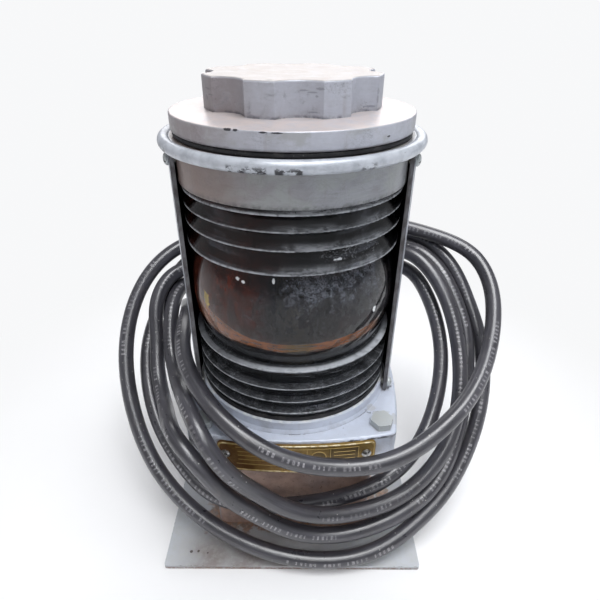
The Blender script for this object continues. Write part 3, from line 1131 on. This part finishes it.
def cable_material():
    """Black rubber with drawn streaks, dust and a row of plain ink dashes."""
    s = Graph("cable_rubber")
    u, v, _ = s.split(s.node("UVMap", uv_map="UVMap").outputs[0])
    along = u * UV_LENGTH
    around = v * (2 * math.pi * JACKET_RADIUS)
    unrolled = s.node("CombineXYZ", (along, around, 0.0)).outputs[0]
    mid = s.noise(7, detail=5, rough=0.62)
    fine = s.noise(0.45, detail=4, rough=0.6, seed=4.0)
    draw = s.noise(1.0, vector=unrolled, detail=4, rough=0.6, stretch=(30, 0.5, 1), seed=2.0)
    smear = s.noise(1.0, vector=unrolled, detail=4, rough=0.65, stretch=(38, 5, 1), seed=8.0)
    col = s.coat(srgb(49, 48, 53), srgb(79, 78, 85), smear.ramp(0.36, 0.70) * 0.75)
    col = s.coat(col, srgb(104, 104, 114), draw.ramp(0.5, 0.75) * 0.25)
    col = s.coat(col, srgb(108, 101, 96), mid.ramp(0.55, 0.78) * 0.30)
    # dashes of random width, in groups with gaps
    dash_pitch, group_pitch = 2.7, 118.0
    cell = s.math("FRACT", along * (1 / dash_pitch))
    index = s.math("FLOOR", along * (1 / dash_pitch))
    chance = s.node("TexWhiteNoise", {"W": index}, noise_dimensions="1D").outputs["Value"]
    width = s.mix(chance, 0.30, 0.62)
    dash = cell.ramp(0.10, 0.14) * (cell < width + 0.12)
    group = s.math("FRACT", along * (1 / group_pitch))
    in_group = (group > 0.10) * (group < 0.66)
    gap = s.math("FRACT", index * 0.17321) > 0.16
    # the line runs along the side that faces front and up, wandering a little
    facing_direction = (-0.10, -0.86, 0.50)
    run = s.node("Attribute", attribute_name="run").outputs["Vector"]
    across = s.node("VectorMath", (run, facing_direction), operation="CROSS_PRODUCT").outputs[0]
    across = s.node("VectorMath", (across,), operation="NORMALIZE").outputs[0]
    facing = s.dot(s.normal, facing_direction)
    wander = s.math("SINE", along * 0.021) * 0.22
    line = abs(s.dot(s.normal, across) + wander).ramp(0.25, 0.21) * (facing > 0.0)
    ink = dash * line * (in_group * gap)
    ink = ink * s.noise(0.8, detail=4, rough=0.7, seed=6.0).ramp(0.36, 0.58, low=0.20)
    ink = ink * s.noise(24, detail=2, seed=16.0).ramp(0.36, 0.52, low=0.25)
    col = s.coat(col, srgb(170, 168, 172), ink * 0.66)
    # dust specks on top and scuffs
    specks = s.specks(5.2).ramp(0.075, 0.045)
    col = s.coat(col, srgb(206, 204, 198), specks * s.nz.ramp(-0.2, 0.6) * 0.75)
    scuff_noise = s.noise(2.2, detail=6, rough=0.75, stretch=(1.4, 1.4, 1), seed=19.0)
    scuffs = scuff_noise.ramp(0.66, 0.71) * mid.ramp(0.45, 0.6)
    col = s.coat(col, srgb(150, 150, 154), scuffs * 0.35)
    rough = 0.30 + (smear - 0.5) * 0.09 + (specks * 0.3 + (mid - 0.5) * 0.14)
    normal = s.bump(draw * 0.35 + (fine * 0.35 + mid * 0.3), depth=0.045)
    return s.finish(s.bsdf(col, rough, 0.0, normal, Specular_IOR_Level=1.0))


def power_cable():
    """Jacket swept along the path, with a dished cut at each end."""
    along, centres, tangents, frames = cable_centre_line()
    rows, segments = len(along), JACKET_SEGMENTS
    angles = np.linspace(0, 2 * math.pi, segments, endpoint=False)
    radii = jacket_radii(along, angles)
    verts, faces, uvs = [], [], []

    def outward(row, k):
        side, other = frames[row]
        return side * math.cos(angles[k]) + other * math.sin(angles[k])

    for i in range(rows):
        for k in range(segments):
            verts.append(tuple((centres[i] + outward(i, k) * radii[i, k]) * MM))
    for i in range(rows - 1):
        u0, u1 = along[i] / UV_LENGTH, along[i + 1] / UV_LENGTH
        for k in range(segments):
            m = (k + 1) % segments
            faces.append((i * segments + k, i * segments + m,
                          (i + 1) * segments + m, (i + 1) * segments + k))
            v0, v1 = k / segments, (k + 1) / segments
            uvs.append(((u0, v0), (u0, v1), (u1, v1), (u1, v0)))

    def close_end(row, sign):
        """Rounded lip and dished centre; sign is +1 at the far end, -1 at the start."""
        def add_face(*corners):
            faces.append(corners if sign > 0 else corners[::-1])
            uvs.append(((0, 0),) * len(corners))

        previous = [row * segments + k for k in range(segments)]
        # share of the radius, offset along the cable before the 0.14 set-back
        for share, push in ((0.97, 0.12), (0.90, 0.14), (0.6, -0.05), (0.3, -0.1)):
            ring = []
            for k in range(segments):
                point = (centres[row] + outward(row, k) * JACKET_SKIN * share
                         + tangents[row] * (push - 0.14) * sign)
                ring.append(len(verts))
                verts.append(tuple(point * MM))
            for k in range(segments):
                m = (k + 1) % segments
                add_face(previous[k], previous[m], ring[m], ring[k])
            previous = ring
        centre = len(verts)
        verts.append(tuple((centres[row] - tangents[row] * 0.25 * sign) * MM))
        for k in range(segments):
            add_face(previous[k], previous[(k + 1) % segments], centre)

    close_end(rows - 1, 1.0)
    close_end(0, -1.0)
    cable = piece("power_cable_jacket", verts, faces, cable_material(), "housing",
                  uvs=uvs)
    # direction of the cable at each vertex; both cut ends take the last one
    run = cable.data.attributes.new("run", "FLOAT_VECTOR", "POINT")
    for i in range(len(verts)):
        run.data[i].vector = tuple(float(c) for c in tangents[min(rows - 1, i // segments)])
    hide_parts("power_cable")


power_cable()

# ------------------------------------------------------------------ staging (metres)
SCENE = bpy.context.scene
WHITE = (0.935, 0.94, 0.95, 1)


def floor_material():
    """Pale matt floor; far from the object it fades to plain white for the camera."""
    s = Graph("floor_pale")
    cloud = s.noise(160, detail=3, rough=0.5)
    col = s.coat((0.88, 0.88, 0.885), (0.85, 0.85, 0.855), cloud.ramp(0.3, 0.7))
    floor = s.bsdf(col, 0.62 + (cloud - 0.5) * 0.1, 0.0, s.bump(s.noise(2.0), depth=0.02))
    plain = s.node("Emission", (WHITE,)).outputs[0]
    away = s.math("SQRT", s.x * s.x + (s.y - 30) * (s.y - 30))
    return s.finish(s.mix_shaders(away.ramp(110, 330) * s.camera_ray(), floor, plain))


def backdrop():
    """Floor that curves up into a wall, far behind the object."""
    bend, bend_y, drop = 0.9, 2.4, 0.0002
    bend_angles = [i * math.pi / 32 for i in range(17)]
    profile = [(-3.0, 0.0)]
    profile += [(bend_y + bend * math.sin(a), bend - bend * math.cos(a)) for a in bend_angles]
    profile += [(bend_y + bend, 4.0)]
    verts = [(x, y, z - drop) for x in (-5.0, 5.0) for y, z in profile]
    n = len(profile)
    faces = [(i, n + i, n + i + 1, i + 1) for i in range(n - 1)]
    mesh = bpy.data.meshes.new("floor")
    mesh.from_pydata(verts, [], faces)
    mesh.materials.append(floor_material())
    mesh.shade_smooth()
    floor = bpy.data.objects.new("floor", mesh)
    SCENE.collection.objects.link(floor)


def area_light(name, place, target_z, size, watts, color, glossy=True):
    """Rectangular light aimed at a height on the axis; size is (width, height)."""
    light = bpy.data.lights.new(name, "AREA")
    light.shape = "RECTANGLE"
    light.size, light.size_y = size
    light.energy = watts
    light.color = color
    lamp = bpy.data.objects.new(name, light)
    SCENE.collection.objects.link(lamp)
    lamp.location = place
    aim = Vector((0, 0, target_z)) - Vector(place)
    lamp.rotation_euler = aim.to_track_quat("-Z", "Y").to_euler()
    if not glossy:
        lamp.visible_glossy = False


def studio_world():
    """Soft bluish fill light; the camera itself sees plain white."""
    world = bpy.data.worlds.new("studio")
    SCENE.world = world
    world.use_nodes = True
    nodes, links = world.node_tree.nodes, world.node_tree.links
    fill = nodes["Background"]
    fill.inputs[0].default_value = (0.93, 0.95, 1.0, 1)
    fill.inputs[1].default_value = 0.33
    white = nodes.new("ShaderNodeBackground")
    white.inputs[0].default_value = WHITE
    light_path = nodes.new("ShaderNodeLightPath")
    pick = nodes.new("ShaderNodeMixShader")
    links.new(light_path.outputs["Is Camera Ray"], pick.inputs[0])
    links.new(fill.outputs[0], pick.inputs[1])
    links.new(white.outputs[0], pick.inputs[2])
    links.new(pick.outputs[0], nodes["World Output"].inputs[0])


def camera():
    """Camera in front of the nameplate side, looking down along +Y."""
    pitch, roll = 0.538443, 0.0050863   # radians
    data = bpy.data.cameras.new("camera")
    data.sensor_width = 36.0
    data.lens = 28.48968
    data.shift_x = 0.00166667
    data.clip_start = 0.01
    view = bpy.data.objects.new("camera", data)
    SCENE.collection.objects.link(view)
    forward = Vector((0, math.cos(pitch), -math.sin(pitch)))
    up = Vector((0, math.sin(pitch), math.cos(pitch)))
    right = Vector((1, 0, 0))
    rolled_right = right * math.cos(roll) + up * math.sin(roll)
    rolled_up = up * math.cos(roll) - right * math.sin(roll)
    matrix = Matrix((rolled_right, rolled_up, -forward)).transposed().to_4x4()
    matrix.translation = Vector((0.00344077, -0.237888, 0.28446))
    view.matrix_world = matrix
    SCENE.camera = view


backdrop()
area_light("key_top", (0.20, -0.22, 1.45), target_z=0.15, size=(0.95, 0.6), watts=15.5,
           color=(0.975, 0.985, 1.0))
area_light("side_right", (1.35, -0.55, 0.75), target_z=0.15, size=(0.9, 1.1), watts=4.2,
           color=(0.93, 0.96, 1.0), glossy=False)
area_light("side_left", (-1.4, -0.5, 0.7), target_z=0.15, size=(0.9, 1.1), watts=2.6,
           color=(1.0, 0.93, 0.87), glossy=False)
area_light("rear", (0.1, 1.25, 0.80), target_z=0.22, size=(1.5, 0.7), watts=8.5,
           color=(1, 1, 1))
area_light("front", (0.22, -1.12, 1.62), target_z=0.16, size=(1.15, 0.13), watts=5.6,
           color=(0.97, 0.985, 1.0))
studio_world()
camera()
SCENE.view_settings.view_transform = "Standard"
SCENE.view_settings.look = "None"
